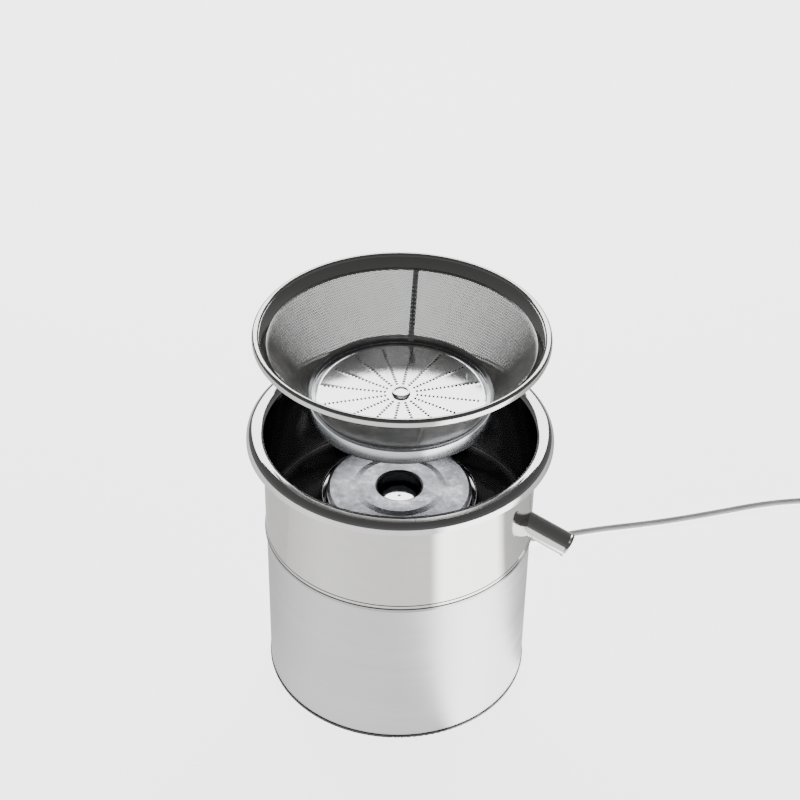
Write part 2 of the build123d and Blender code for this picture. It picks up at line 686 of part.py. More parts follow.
def cord_tail():
    """Centre line of the short free end from the coil's top layer to the plug."""
    x = COIL_AT[0] + TURN_R + CORD_D / 2
    y = COIL_AT[1]
    return [
        (x, y, 2.5 * CORD_D),
        (x + 1.5, y + 24.2, PLUG_Z),
        (x + 5.0, y + 48.0, PLUG_Z),
    ]


def bend_radii(points):
    """Largest tangent arcs that fit the runs on either side."""
    radii = []
    for a, b, c in zip(points, points[1:], points[2:]):
        u = Vector(*b) - Vector(*a)
        v = Vector(*c) - Vector(*b)
        turn = math.radians(u.get_angle(v))
        radii.append(0.45 * min(u.length, v.length) / math.tan(turn / 2))
    return radii


def tube_along(points):
    radii = bend_radii(points)
    path = FilletPolyline(*points, radius=radii)
    start = Vector(*points[0])
    heading = Vector(*points[1]) - start
    tube = sweep(Plane(origin=start, z_dir=heading) * Circle(CORD_D / 2), path=path)
    print("cord run %.1f mm, radii" % path.length, [round(r, 1) for r in radii])
    print("  volume %.1f, section x length %.1f" % (tube.volume, math.pi * CORD_D ** 2 / 4 * path.length))
    return tube


def cord_coil():
    """Outer shape of the turns of stored cord lying on the table."""
    print("stored cord %.1f mm" % (COIL_TURNS * 2 * math.pi * TURN_R))
    body = ring(TURN_R - CORD_D, TURN_R + CORD_D, 0.0, COIL_H)
    body = fillet(body.edges().filter_by(GeomType.CIRCLE), 2.4)
    return Pos(COIL_AT[0], COIL_AT[1], 0) * body


def coil_tie():
    """Wire tie wrapped round the coil on the side towards the housing."""
    outer = Box(2 * CORD_D + 2.0, 5.0, COIL_H + 1.0)
    inner = Box(2 * CORD_D + 0.6, 6.0, COIL_H + 0.2)
    band = Pos(-TURN_R, 0, COIL_H / 2 + 0.5) * outer - Pos(-TURN_R, 0, COIL_H / 2) * inner
    return Pos(COIL_AT[0], COIL_AT[1], 0) * band


def plug_frame():
    tail = cord_tail()
    end = Vector(*tail[-1])
    heading = end - Vector(*tail[-2])
    level = Vector(heading.X, heading.Y, 0).normalized()
    return Plane(origin=end, x_dir=Vector(-level.Y, level.X, 0), z_dir=level)


def plug_body():
    """Flat two-pin plug: grip, shoulder and sleeve, lying flat."""
    frame = plug_frame()
    grip = Box(26.0, 12.4, 26.0)
    grip = fillet(grip.edges().filter_by(Axis.Z), 4.0)
    face = Box(35.0, 13.7, 6.0)
    face = fillet(face.edges().filter_by(Axis.Z), 4.0)
    face = fillet(face.edges().group_by(Axis.Z)[0], 0.8)
    body = Pos(0, 0, 9.2) * Cone(3.6, 5.4, 18.4)
    body = body + Pos(0, 0, 30.0) * grip + Pos(0, 0, 41.0) * face
    return frame * body


def plug_pins():
    frame = plug_frame()
    group = []
    for x in (-9.3, 9.3):
        pin = frame * Pos(x, 0, 44.0 + 9.5) * Cylinder(2.0, 19.0)
        tip = [e for e in pin.edges().filter_by(GeomType.CIRCLE)]
        group.append(fillet(tip, 0.9) if len(tip) == 2 else pin)
    return Compound(children=group)


def main():
    feet = Compound(children=[foot(x, y) for x, y in around(4, 84.0, 45)])
    screws = Compound(children=[foot_screw(x, y) for x, y in around(4, 84.0, 45)])
    pieces = {
        "lower_housing": lower_housing(),
        "base_plate": base_plate(),
        "rubber_feet": feet,
        "foot_screws": screws,
        "base_pillars": base_pillars(),
        "seam_ring": seam_ring(),
        "upper_housing": upper_housing(),
        "collector_bowl": collector_bowl(),
        "bowl_wall": bowl_wall(),
        "bowl_roll": bowl_roll(),
        "spout_tube": spout_tube(),
        "motor_deck": motor_deck(),
        "deck_screws": deck_screws(),
        "bowl_gasket": bowl_gasket(),
        "shaft_seal": shaft_seal(),
        "upper_bearing": bearing(UPPER_BEARING_Z),
        "lower_bearing": bearing(LOWER_BEARING_Z),
        "field_core": field_core(),
        "field_windings": field_windings(),
        "lower_bracket": lower_bracket(),
        "upper_bracket": upper_bracket(),
        "motor_bolts": motor_bolts(),
        "spacer_tubes": spacer_tubes(),
        "vibration_bushes": vibration_bushes(),
        "brush_holders": brush_holders(),
        "carbon_brushes": carbon_brushes(),
        "motor_shaft": motor_shaft(),
        "armature_core": armature_core(),
        "armature_windings": armature_windings(),
        "commutator": commutator(),
        "cooling_fan": cooling_fan(),
        "turntable": turntable(),
        "spindle_cap": spindle_cap(),
        "basket_rim": basket_rim(),
        "sieve_cone": sieve_cone(),
        "seam_strips": seam_strips(),
        "seam_welds": seam_welds(),
        "basket_ring": basket_ring(),
        "grater_disc": grater_disc(),
        "disc_boss": disc_boss(),
        "basket_coupling": basket_coupling(),
        "switch_case": switch_case(),
        "switch_rocker": switch_rocker(),
        "switch_terminals": switch_terminals(),
        "terminal_block": terminal_block(),
        "cord_gland": cord_gland(),
        "mains_cord": tube_along(cord_route()),
        "cord_coil": cord_coil(),
        "coil_tie": coil_tie(),
        "cord_tail": tube_along(cord_tail()),
        "plug_body": plug_body(),
        "plug_pins": plug_pins(),
    }
    for name, shape in pieces.items():
        save(name, shape)


main()
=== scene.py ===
import json
import math
import random

import bmesh
import bpy
from mathutils import Matrix, Vector


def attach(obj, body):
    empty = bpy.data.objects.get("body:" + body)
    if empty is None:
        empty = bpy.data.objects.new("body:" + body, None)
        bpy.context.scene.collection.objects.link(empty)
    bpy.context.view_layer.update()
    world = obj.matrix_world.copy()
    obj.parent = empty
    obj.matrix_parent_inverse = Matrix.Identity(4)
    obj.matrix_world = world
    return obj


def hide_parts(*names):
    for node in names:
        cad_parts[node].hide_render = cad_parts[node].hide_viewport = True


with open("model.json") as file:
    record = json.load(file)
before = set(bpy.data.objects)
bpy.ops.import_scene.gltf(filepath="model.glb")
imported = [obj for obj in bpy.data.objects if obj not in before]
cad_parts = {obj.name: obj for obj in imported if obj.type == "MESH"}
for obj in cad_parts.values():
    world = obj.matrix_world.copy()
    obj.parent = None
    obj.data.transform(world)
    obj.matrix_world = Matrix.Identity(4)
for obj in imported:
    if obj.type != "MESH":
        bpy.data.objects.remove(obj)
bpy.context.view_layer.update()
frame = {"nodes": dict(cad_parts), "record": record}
rng = random.Random(7)
MM = 0.001

# ---- main sizes, in millimetres ------------------------------------------
SHEET = 1.0                  # thickness of the bowl and drum sheet
RIM_Z = 240.0                # top of the bowl's rolled rim
RIM_R = 119.0
BOWL_R = 103.8
ROLL_R = (RIM_R - BOWL_R) / 2
ROLL_AT = (BOWL_R + ROLL_R, RIM_Z - ROLL_R)
SKIN_R = 106.2
SEAM_Z = 147.0
DRUM_R = 105.6
DRUM_LOW = 9.0
DRUM_TOP = 143.4
DRUM_FLANGE_R = 97.0
HUB_R = 61.0
GROOVE_Z = 167.0

TABLE_TOP = 180.0
TABLE_R = 57.3
SOCKET_R = 17.2
SPINDLE_R = 4.0
CAP_Z = 160.0                # foot of the spindle cap
CAP_R = 14.0

BASKET_Z = 328.7             # top of the lifted basket
CONE_TOP = (101.2, -8.8)     # radius, and height below the basket's top
CONE_LOW = (67.4, -57.0)
DISC_DZ = -57.7
SEAM_AZ = (84.7, -80.0)      # degrees, the two joints of the sieve sheet
SIEVE_PITCH = 1.4
SIEVE_HOLE_R = 0.34
SIEVE_MARGIN_R = 122.8       # flat-sheet radius below which there are no holes

TOOTH_ROWS = 16
TOOTH_START = 15.2           # degrees from +X to the first row
TEETH_PER_ROW = 16
FIRST_TOOTH_R = 12.5
TOOTH_PITCH = 3.1

SPOUT_AZ = math.radians(-14.0)
SPOUT_SLOPE = math.radians(24.5)
SPOUT_Z = 165.5
SPOUT_R = 9.5
SPOUT_BORE_R = 8.5
SPOUT_LONG = 35.0
DRILL_DEPTH = 30.0

CORD_D = 5.5
CORD_EXIT_AZ = math.radians(55.0)
TURN_R = 30.25               # inner edge of the coil's outer turns
COIL_TURNS = 4.25
COIL_AT = (436.0, 246.0)


# ---- node helpers ---------------------------------------------------------
class Shader:
    """A node material written as calls: each call adds one node."""

    def __init__(self, name):
        self.mat = bpy.data.materials.new(name)
        self.mat.use_nodes = True
        self.tree = self.mat.node_tree
        self.tree.nodes.clear()
        self.out = self.tree.nodes.new("ShaderNodeOutputMaterial")
        self.bsdf = self.tree.nodes.new("ShaderNodeBsdfPrincipled")
        self.link(self.bsdf.outputs[0], self.out.inputs["Surface"])

    def link(self, a, b):
        self.tree.links.new(a, b)

    def put(self, socket, value):
        if isinstance(value, bpy.types.NodeSocket):
            self.link(value, socket)
        else:
            socket.default_value = value

    def coords(self, kind="Object"):
        return self.tree.nodes.new("ShaderNodeTexCoord").outputs[kind]

    def math(self, op, a, b=0.0, c=0.0, clamp=False):
        n = self.tree.nodes.new("ShaderNodeMath")
        n.operation = op
        n.use_clamp = clamp
        for socket, value in zip(n.inputs, (a, b, c)):
            self.put(socket, value)
        return n.outputs[0]

    def scaled(self, vector, scale):
        n = self.tree.nodes.new("ShaderNodeMapping")
        self.put(n.inputs["Vector"], vector)
        n.inputs["Scale"].default_value = scale
        return n.outputs[0]

    def split(self, vector):
        n = self.tree.nodes.new("ShaderNodeSeparateXYZ")
        self.put(n.inputs[0], vector)
        return n.outputs

    def join(self, x, y, z):
        n = self.tree.nodes.new("ShaderNodeCombineXYZ")
        for socket, value in zip(n.inputs, (x, y, z)):
            self.put(socket, value)
        return n.outputs[0]

    def noise(self, vector, scale, detail=3.0, rough=0.55):
        n = self.tree.nodes.new("ShaderNodeTexNoise")
        self.put(n.inputs["Vector"], vector)
        n.inputs["Scale"].default_value = scale
        n.inputs["Detail"].default_value = detail
        n.inputs["Roughness"].default_value = rough
        return n.outputs["Fac"]

    def span(self, value, a, b, low, high):
        n = self.tree.nodes.new("ShaderNodeMapRange")
        self.put(n.inputs[0], value)
        for k, v in zip((1, 2, 3, 4), (a, b, low, high)):
            n.inputs[k].default_value = v
        return n.outputs[0]

    def ramp(self, value, *stops):
        n = self.tree.nodes.new("ShaderNodeValToRGB")
        self.put(n.inputs[0], value)
        elements = n.color_ramp.elements
        while len(elements) < len(stops):
            elements.new(0.5)
        for e, (pos, col) in zip(elements, stops):
            e.position = pos
            e.color = (*col, 1.0)
        return n.outputs[0]

    def bump(self, height, strength, distance, normal=None):
        n = self.tree.nodes.new("ShaderNodeBump")
        n.inputs["Strength"].default_value = strength
        n.inputs["Distance"].default_value = distance
        self.put(n.inputs["Height"], height)
        if normal is not None:
            self.put(n.inputs["Normal"], normal)
        return n.outputs[0]

    def turned(self, amount):
        """Stretch highlights across the circular tool marks about the Z axis."""
        n = self.tree.nodes.new("ShaderNodeTangent")
        n.direction_type = "RADIAL"
        n.axis = "Z"
        self.link(n.outputs[0], self.bsdf.inputs["Tangent"])
        self.bsdf.inputs["Anisotropic"].default_value = amount

    def set(self, **values):
        names = {"color": "Base Color", "rough": "Roughness", "metal": "Metallic", "normal": "Normal"}
        for key, value in values.items():
            self.put(self.bsdf.inputs[names.get(key, key)], value)
        return self.mat


def radius_of(s, position):
    x, y, _ = s.split(position)
    return s.math("SQRT", s.math("ADD", s.math("MULTIPLY", x, x), s.math("MULTIPLY", y, y)))


# ---- materials --------------------------------------------------------------
def polished_steel(name, tint, rough, smear=1.0):
    """Drawn and buffed stainless sheet: faint haze, buffing lines, wipe marks."""
    s = Shader(name)
    p = s.coords()
    haze = s.noise(s.scaled(p, (9, 9, 5)), 1.6, 4.0)
    wipe = s.noise(s.scaled(p, (14, 14, 60)), 2.0, 5.0, 0.6)
    lines = s.noise(s.scaled(p, (20, 20, 2600)), 1.0, 2.0)
    tone = s.math("ADD", s.math("MULTIPLY", haze, 0.6), s.math("MULTIPLY", wipe, 0.4))
    low = tuple(c * 0.90 for c in tint)
    s.set(color=s.ramp(tone, (0.32, low), (0.68, tint)), metal=1.0)
    s.bsdf.inputs["Specular Tint"].default_value = (0.78, 0.78, 0.78, 1)
    r = s.span(tone, 0.3, 0.7, rough * (1 - 0.25 * smear), rough * (1 + 0.45 * smear))
    r = s.math("ADD", r, s.math("MULTIPLY", s.math("SUBTRACT", lines, 0.5), 0.03))
    dent = s.noise(s.scaled(p, (7, 7, 9)), 1.0, 1.0)
    n = s.bump(dent, 0.08, 0.0014)
    return s.set(rough=r, normal=s.bump(lines, 0.04, 0.00003, n))


def satin_steel(name, tint, rough):
    """Stainless with a fine brushed grain that runs round the drum."""
    s = Shader(name)
    p = s.coords()
    grain = s.noise(s.scaled(p, (26, 26, 3400)), 1.0, 4.0, 0.7)
    band = s.noise(s.scaled(p, (5, 5, 160)), 1.0, 3.0)
    haze = s.noise(s.scaled(p, (11, 11, 8)), 1.3, 4.0)
    tone = s.math("ADD", s.math("MULTIPLY", grain, 0.5), s.math("MULTIPLY", band, 0.5))
    low = tuple(c * 0.86 for c in tint)
    s.set(color=s.ramp(tone, (0.3, low), (0.7, tint)), metal=1.0)
    s.bsdf.inputs["Specular Tint"].default_value = (0.72, 0.72, 0.72, 1)
    s.turned(0.55)
    r = s.span(tone, 0.3, 0.7, rough - 0.05, rough + 0.07)
    r = s.math("ADD", r, s.math("MULTIPLY", haze, 0.06))
    return s.set(rough=r, normal=s.bump(grain, 0.22, 0.00006))


def lathe_rings(s, p, fine, cross):
    """Noise drawn out into circles about the Z axis, like tool marks."""
    x, y, _ = s.split(p)
    across = s.math("MULTIPLY", radius_of(s, p), fine)
    return s.join(across, s.math("MULTIPLY", x, cross), s.math("MULTIPLY", y, cross))


def turned_steel(name, tint, rough, creases=0, stretch=0.5):
    """Plate polished on a lathe: concentric lines and a few cross scratches."""
    s = Shader(name)
    p = s.coords()
    r = radius_of(s, p)
    x, y, _ = s.split(p)
    rings = s.noise(lathe_rings(s, p, 3200.0, 9.0), 1.0, 3.0)
    haze = s.noise(s.scaled(p, (22, 22, 22)), 1.5, 5.0)
    scratch = s.noise(s.scaled(p, (900, 60, 60)), 1.0, 2.0, 0.4)
    tone = s.math("ADD", s.math("MULTIPLY", rings, 0.55), s.math("MULTIPLY", haze, 0.45))
    low = tuple(c * 0.88 for c in tint)
    s.set(color=s.ramp(tone, (0.3, low), (0.7, tint)), metal=1.0)
    sheen = s.span(tone, 0.3, 0.7, rough * 0.75, rough * 1.4)
    sheen = s.math("ADD", sheen, s.span(scratch, 0.66, 0.72, 0.0, 0.10))
    s.turned(stretch)
    normal = None
    if creases:
        # low radial creases pressed in by the punch, one along each row
        angle = s.math("SUBTRACT", s.math("ARCTAN2", y, x), math.radians(TOOTH_START))
        wave = s.math("COSINE", s.math("MULTIPLY", angle, float(creases)))
        ridge = s.math("POWER", s.span(wave, -1.0, 1.0, 0.0, 1.0), 14.0)
        ridge = s.math("MULTIPLY", ridge, s.span(r, 0.008, 0.060, 0.1, 1.0))
        normal = s.bump(ridge, 0.15, 0.0005)
    return s.set(rough=sheen, normal=s.bump(rings, 0.10, 0.00005, normal))


def cast_aluminium(name, tint, rough):
    """Turned aluminium casting: mottled, dull, with faint tool rings."""
    s = Shader(name)
    p = s.coords()
    rings = s.noise(lathe_rings(s, p, 1500.0, 5.0), 1.0, 2.0)
    mottle = s.noise(p, 160.0, 6.0, 0.7)
    stain = s.noise(p, 28.0, 4.0)
    tone = s.math("ADD", s.math("MULTIPLY", mottle, 0.55), s.math("MULTIPLY", stain, 0.45))
    dark = tuple(c * 0.55 for c in tint)
    light = tuple(min(1, c * 1.5) for c in tint)
    s.set(color=s.ramp(tone, (0.34, dark), (0.52, tint), (0.66, light)), metal=1.0)
    s.set(rough=s.span(tone, 0.3, 0.7, rough + 0.14, rough - 0.10))
    pits = s.bump(mottle, 0.35, 0.00025)
    s.turned(0.45)
    return s.set(normal=s.bump(rings, 0.25, 0.00012, pits))


def perforated_steel(name, tint, rough, pitch, hole, margin):
    """Sheet with round holes in a staggered grid, laid out on the flat sheet.

    Sizes are in metres. There are no holes inside the radius margin.
    """
    s = Shader(name)
    u, v, _ = s.split(s.coords("UV"))
    row_h = pitch * math.sqrt(3) / 2

    def lattice(shift):
        a = s.math("DIVIDE", s.math("ADD", u, pitch * shift), pitch)
        b = s.math("DIVIDE", s.math("ADD", v, row_h * 2 * shift), row_h * 2)
        fa = s.math("MULTIPLY", s.math("SUBTRACT", s.math("FRACT", a), 0.5), pitch)
        fb = s.math("MULTIPLY", s.math("SUBTRACT", s.math("FRACT", b), 0.5), row_h * 2)
        return s.math("SQRT", s.math("ADD", s.math("MULTIPLY", fa, fa), s.math("MULTIPLY", fb, fb)))

    d = s.math("MINIMUM", lattice(0.0), lattice(0.5))
    # a plain margin along the sheet's lower edge, where it is welded to the hoop
    along = s.math("SQRT", s.math("ADD", s.math("MULTIPLY", u, u), s.math("MULTIPLY", v, v)))
    d = s.math("ADD", d, s.span(along, margin, margin + 0.0001, pitch, 0.0))
    p = s.coords()
    tone = s.noise(p, 70.0, 4.0)
    grain = s.noise(s.scaled(p, (30, 30, 900)), 1.0, 3.0)
    low = tuple(c * 0.82 for c in tint)
    s.set(color=s.ramp(tone, (0.35, low), (0.65, tint)), metal=1.0)
    s.set(rough=s.span(grain, 0.3, 0.7, rough - 0.02, rough + 0.02))
    burr = s.span(d, hole, hole * 1.5, 0.0, 1.0)
    s.set(normal=s.bump(burr, 0.5, 0.00012))
    open_mix = s.tree.nodes.new("ShaderNodeMixShader")
    clear = s.tree.nodes.new("ShaderNodeBsdfTransparent")
    s.link(s.span(d, hole * 0.94, hole * 1.06, 1.0, 0.0), open_mix.inputs[0])
    s.link(s.bsdf.outputs[0], open_mix.inputs[1])
    s.link(clear.outputs[0], open_mix.inputs[2])
    s.link(open_mix.outputs[0], s.out.inputs["Surface"])
    return s.mat


def moulded(name, tint, rough, grain=0.2, scale=900.0, spec=0.5):
    """Moulded plastic or rubber: fine spark grain and slight tone drift."""
    s = Shader(name)
    p = s.coords()
    fine = s.noise(p, scale, 3.0)
    drift = s.noise(p, 30.0, 3.0)
    low = tuple(c * 0.86 for c in tint)
    s.set(color=s.ramp(drift, (0.35, low), (0.65, tint)))
    s.bsdf.inputs["Specular IOR Level"].default_value = spec
    s.set(rough=s.span(drift, 0.3, 0.7, rough - 0.06, rough + 0.08))
    return s.set(normal=s.bump(fine, grain, 0.00012))


def laminated(name):
    """Stack of thin steel sheets seen edge on."""
    s = Shader(name)
    p = s.coords()
    z = s.split(p)[2]
    wave = s.math("SINE", s.math("MULTIPLY", z, 2 * math.pi / 0.0010))
    tone = s.noise(p, 220.0, 4.0)
    s.set(color=s.ramp(tone, (0.3, (0.07, 0.07, 0.075)), (0.7, (0.17, 0.17, 0.18))), metal=0.9)
    s.set(rough=s.span(tone, 0.3, 0.7, 0.42, 0.62))
    return s.set(normal=s.bump(wave, 0.5, 0.0002))


def wound_copper(name):
    """Lacquered copper wire, turn beside turn."""
    s = Shader(name)
    p = s.coords()
    z = s.split(p)[2]
    slant = s.math("ADD", radius_of(s, p), s.math("MULTIPLY", z, 0.35))
    wave = s.math("SINE", s.math("MULTIPLY", slant, 2 * math.pi / 0.0009))
    tone = s.noise(p, 260.0, 3.0)
    s.set(color=s.ramp(tone, (0.3, (0.30, 0.10, 0.04)), (0.7, (0.62, 0.27, 0.11))), metal=0.8)
    s.bsdf.inputs["Coat Weight"].default_value = 0.5
    s.set(rough=s.span(tone, 0.3, 0.7, 0.25, 0.42))
    return s.set(normal=s.bump(wave, 0.6, 0.0003))


def carbon(name):
    """Pressed carbon: dull black with a fine grain."""
    s = Shader(name)
    p = s.coords()
    fine = s.noise(p, 1800.0, 5.0)
    s.set(color=s.ramp(fine, (0.3, (0.012, 0.012, 0.013)), (0.7, (0.05, 0.05, 0.05))))
    s.set(rough=s.span(fine, 0.3, 0.7, 0.5, 0.75))
    return s.set(normal=s.bump(fine, 0.3, 0.0001))


WARM = (0.58, 0.575, 0.55)
MAT = {
    "skin": polished_steel("steel_upper_skin", WARM, 0.055, 0.5),
    "rim": polished_steel("steel_rolled_rim", (0.66, 0.66, 0.655), 0.06, 0.5),
    # the bowl's inside is the skin's steel with a darker tint: painted shade inside the bowl
    "bowl": polished_steel("steel_bowl_inside_painted_shade", (0.40, 0.395, 0.40), 0.10),
    "drum": satin_steel("steel_satin_drum", (0.62, 0.625, 0.62), 0.34),
    "basket": polished_steel("steel_basket_rim", (0.56, 0.56, 0.55), 0.10, 0.8),
    "ring": polished_steel("steel_basket_ring", (0.56, 0.575, 0.60), 0.17, 0.6),
    "disc": turned_steel("steel_grater_disc", (0.78, 0.78, 0.795), 0.10, TOOTH_ROWS, 0.1),
    "tooth": turned_steel("steel_teeth", (0.70, 0.70, 0.71), 0.20),
    "bead": polished_steel("steel_seam_bead", (0.40, 0.40, 0.40), 0.12, 0.6),
    "weld": turned_steel("steel_spot_weld", (0.75, 0.75, 0.75), 0.30),
    "strip": polished_steel("steel_lap_strip", (0.52, 0.52, 0.51), 0.26),
    "mesh": perforated_steel("steel_perforated", (0.58, 0.58, 0.565), 0.32, SIEVE_PITCH * MM,
                             SIEVE_HOLE_R * MM, SIEVE_MARGIN_R * MM),
    "plain": turned_steel("steel_plain", (0.50, 0.50, 0.50), 0.30),
    "cast": cast_aluminium("aluminium_cast", (0.25, 0.255, 0.275), 0.27),
    "cap": turned_steel("steel_spindle_cap", (0.80, 0.80, 0.83), 0.08, 0, 0.2),
    "spout": polished_steel("steel_spout", (0.72, 0.72, 0.71), 0.13, 0.6),
    "lamination": laminated("motor_lamination"),
    "copper": wound_copper("motor_copper"),
    "carbon": carbon("motor_carbon"),
    "black": moulded("plastic_black", (0.022, 0.022, 0.024), 0.48, 0.25),
    "grey": moulded("plastic_grey", (0.42, 0.43, 0.43), 0.35, 0.10),
    "rubber": moulded("rubber_black", (0.016, 0.016, 0.017), 0.70, 0.35, 1400.0, 0.3),
    "cord": moulded("pvc_light_grey", (0.50, 0.50, 0.49), 0.42, 0.12, 700.0),
    # near-black for the tooth mouths and holes: painted shade where the sheet is open
    "hole": moulded("tooth_opening_painted_shade", (0.012, 0.012, 0.013), 0.7, 0.1),
    "nickel": turned_steel("nickel_pin", (0.62, 0.60, 0.55), 0.20),
}
SLOT_LOOK = {
    "polished_steel": "rim", "satin_steel": "drum", "bowl_steel": "bowl", "mesh_steel": "mesh",
    "plain_steel": "plain", "cast_aluminium": "cast", "lamination": "lamination", "copper": "copper",
    "carbon": "carbon", "black_plastic": "black", "grey_plastic": "grey", "rubber_black": "rubber",
    "cord_grey": "cord", "pin_nickel": "nickel",
}


# ---- mesh helpers -----------------------------------------------------------
def new_object(name, mesh, look):
    obj = bpy.data.objects.new(name, mesh)
    bpy.context.scene.collection.objects.link(obj)
    if look is not None:
        mesh.materials.append(MAT[look])
    return obj


def finish_mesh(obj, sharp=32.0):
    obj.data.polygons.foreach_set("use_smooth", [True] * len(obj.data.polygons))
    obj.data.set_sharp_from_angle(angle=math.radians(sharp))
    obj.data.update()
    return obj


def arc(cx, cz, r, a0, a1, n):
    """Points on an arc in the (radius, height) plane, angles in degrees."""
    stride = (a1 - a0) / n
    angles = [math.radians(a0 + stride * k) for k in range(n + 1)]
    return [(cx + r * math.cos(a), cz + r * math.sin(a)) for a in angles]


def rounded(points, radius, n=4):
    """Closed outline with each corner rounded; radius is one value or a list."""
    out = []
    count = len(points)
    radii = radius if isinstance(radius, (list, tuple)) else [radius] * count
    for k in range(count):
        p, q, w = (Vector(points[(k + j - 1) % count]) for j in range(3))
        r = radii[k]
        if r <= 0:
            out.append(tuple(q))
            continue
        u = (p - q).normalized()
        v = (w - q).normalized()
        half = u.angle(v) / 2
        t = min(r / math.tan(half), (p - q).length * 0.49, (w - q).length * 0.49)
        a = q + u * t
        b = q + v * t
        for j in range(n + 1):
            f = j / n
            out.append(tuple(a * (1 - f) ** 2 + q * 2 * f * (1 - f) + b * f ** 2))
    return out


def lathe(name, outline, look, segments=256, closed=True, sharp=32.0):
    """Revolve an outline of (radius, height) points in mm about the Z axis."""
    bm = bmesh.new()
    rows = []
    for r, z in outline:
        row = []
        if r < 1e-6:
            row = [bm.verts.new((0, 0, z * MM))] * segments
        else:
            for k in range(segments):
                a = 2 * math.pi * k / segments
                row.append(bm.verts.new((r * math.cos(a) * MM, r * math.sin(a) * MM, z * MM)))
        rows.append(row)
    total = len(rows)
    for i in range(total if closed else total - 1):
        a, b = rows[i], rows[(i + 1) % total]
        for k in range(segments):
            j = (k + 1) % segments
            corners = []
            for vert in (a[k], a[j], b[j], b[k]):
                if vert not in corners:
                    corners.append(vert)
            if len(corners) > 2:
                bm.faces.new(corners)
    bmesh.ops.recalc_face_normals(bm, faces=bm.faces)
    mesh = bpy.data.meshes.new(name)
    bm.to_mesh(mesh)
    bm.free()
    return finish_mesh(new_object(name, mesh, look), sharp)


def place(obj, body, slot, *nodes):
    """Fix a piece to its body and hide the CAD nodes it stands for; the slot argument is not used."""
    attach(obj, body)
    if nodes:
        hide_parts(*nodes)
    return obj


def shift(points, dz):
    """Raise an outline by dz."""
    return [(r, z + dz) for r, z in points]


# ---- housings and bowl ------------------------------------------------------
def build_lower_drum():
    inner = DRUM_R - SHEET
    outline = rounded([
        (inner, DRUM_LOW), (DRUM_R, DRUM_LOW), (DRUM_R, DRUM_TOP), (DRUM_FLANGE_R, DRUM_TOP),
        (DRUM_FLANGE_R, DRUM_TOP - SHEET), (inner, DRUM_TOP - SHEET),
    ], [0, 0.3, 0.9, 0, 0, 0.3])
    place(lathe("lower_drum", outline, "drum"), "base", "satin_steel", "lower_housing")


def build_seam_bead():
    """Round bead that covers the seam between the drum and the skin."""
    bulge = 0.9
    inner = DRUM_R - bulge
    outer = SKIN_R + bulge
    top = SEAM_Z - 0.2
    outline = [(inner, DRUM_TOP), (outer, DRUM_TOP), (outer, top), (inner, top)]
    hoop = lathe("seam_hoop", rounded(outline, [0, 1.3, 1.3, 0], 6), "bead")
    place(hoop, "base", "polished_steel", "seam_ring")


def build_upper_skin():
    """Bright skin with a low swage above the seam and the hole for the spout."""
    inner = SKIN_R - 0.8
    swage = SKIN_R + 0.5
    top = RIM_Z - 4.95
    outline = rounded([
        (inner, SEAM_Z), (swage, SEAM_Z), (swage, SEAM_Z + 2.4),
        (SKIN_R, SEAM_Z + 3.0), (SKIN_R, top), (inner, top),
    ], [0, 0.6, 0.6, 0.3, 0, 0], 5)
    skin = lathe("upper_skin", outline, "skin")
    drill(skin, SPOUT_R + 0.15, 0.0, DRILL_DEPTH)
    place(skin, "base", "polished_steel", "upper_housing")


def build_bowl_roll():
    """Half-round roll at the top of the bowl, with a small turned-in edge."""
    cx, cz = ROLL_AT
    outline = arc(cx, cz, ROLL_R, 180, 0, 40)
    outline += [(RIM_R, cz - 2.0), (RIM_R - 0.5, cz - 2.2), (RIM_R - SHEET, cz - 2.0)]
    outline += arc(cx, cz, ROLL_R - SHEET, 0, 180, 28)
    place(lathe("bowl_rolled_rim", outline, "rim"), "base", "polished_steel", "bowl_roll")


def build_collector():
    """Bowl wall, sloping juice floor and the hub with its groove."""
    cz = ROLL_AT[1]
    wall = BOWL_R + SHEET
    # outside of the wall, then the underside of the floor
    outline = [(BOWL_R, cz), (wall, cz), (wall, 156.0), (102.6, 154.0)]
    outline += [(HUB_R + SHEET, 173.4), (HUB_R + SHEET, GROOVE_Z - SHEET)]
    # collar round the shaft, then the groove, which rises towards the hub
    outline += [(30.0, GROOVE_Z - SHEET), (30.0, 170.0), (31.0, 170.0), (31.0, GROOVE_Z)]
    outline += [(50.0, GROOVE_Z), (HUB_R, 171.5)]
    # edge of the hub, the juice floor, and the bend up into the wall
    outline += rounded([(HUB_R, 172.5), (HUB_R, 175.0), (64.0, 173.6)], [0, 0.12, 0], 4)
    outline += [(96.0, 157.82)]
    outline += rounded([(96.5, 157.58), (BOWL_R - 0.4, 154.9), (BOWL_R, 162.0)], [0, 6.0, 0], 8)
    bowl = lathe("collector_shell", outline, "bowl")
    drill(bowl, SPOUT_BORE_R, -2.0, DRILL_DEPTH)
    place(bowl, "base", "bowl_steel", "collector_bowl", "bowl_wall")


def drill(obj, radius, distance, depth):
    """Cut a round hole on the spout axis."""
    mesh = bpy.data.meshes.new("cutter")
    bm = bmesh.new()
    r = radius * MM
    bmesh.ops.create_cone(bm, cap_ends=True, segments=64, radius1=r, radius2=r, depth=depth * MM)
    bm.to_mesh(mesh)
    bm.free()
    subtract(obj, mesh, spout_matrix(distance))


def subtract(obj, mesh, matrix):
    """Cut a closed mesh, placed by matrix, out of obj."""
    tool = new_object("cutter", mesh, None)
    tool.matrix_world = matrix
    mod = obj.modifiers.new("cut", "BOOLEAN")
    mod.object = tool
    mod.solver = "EXACT"
    apply_modifiers(obj)
    bpy.data.objects.remove(tool)
    finish_mesh(obj)


def apply_modifiers(obj):
    """Replace the mesh with its modified form."""
    bpy.context.view_layer.update()
    graph = bpy.context.evaluated_depsgraph_get()
    made = bpy.data.meshes.new_from_object(obj.evaluated_get(graph))
    obj.modifiers.clear()
    obj.data = made


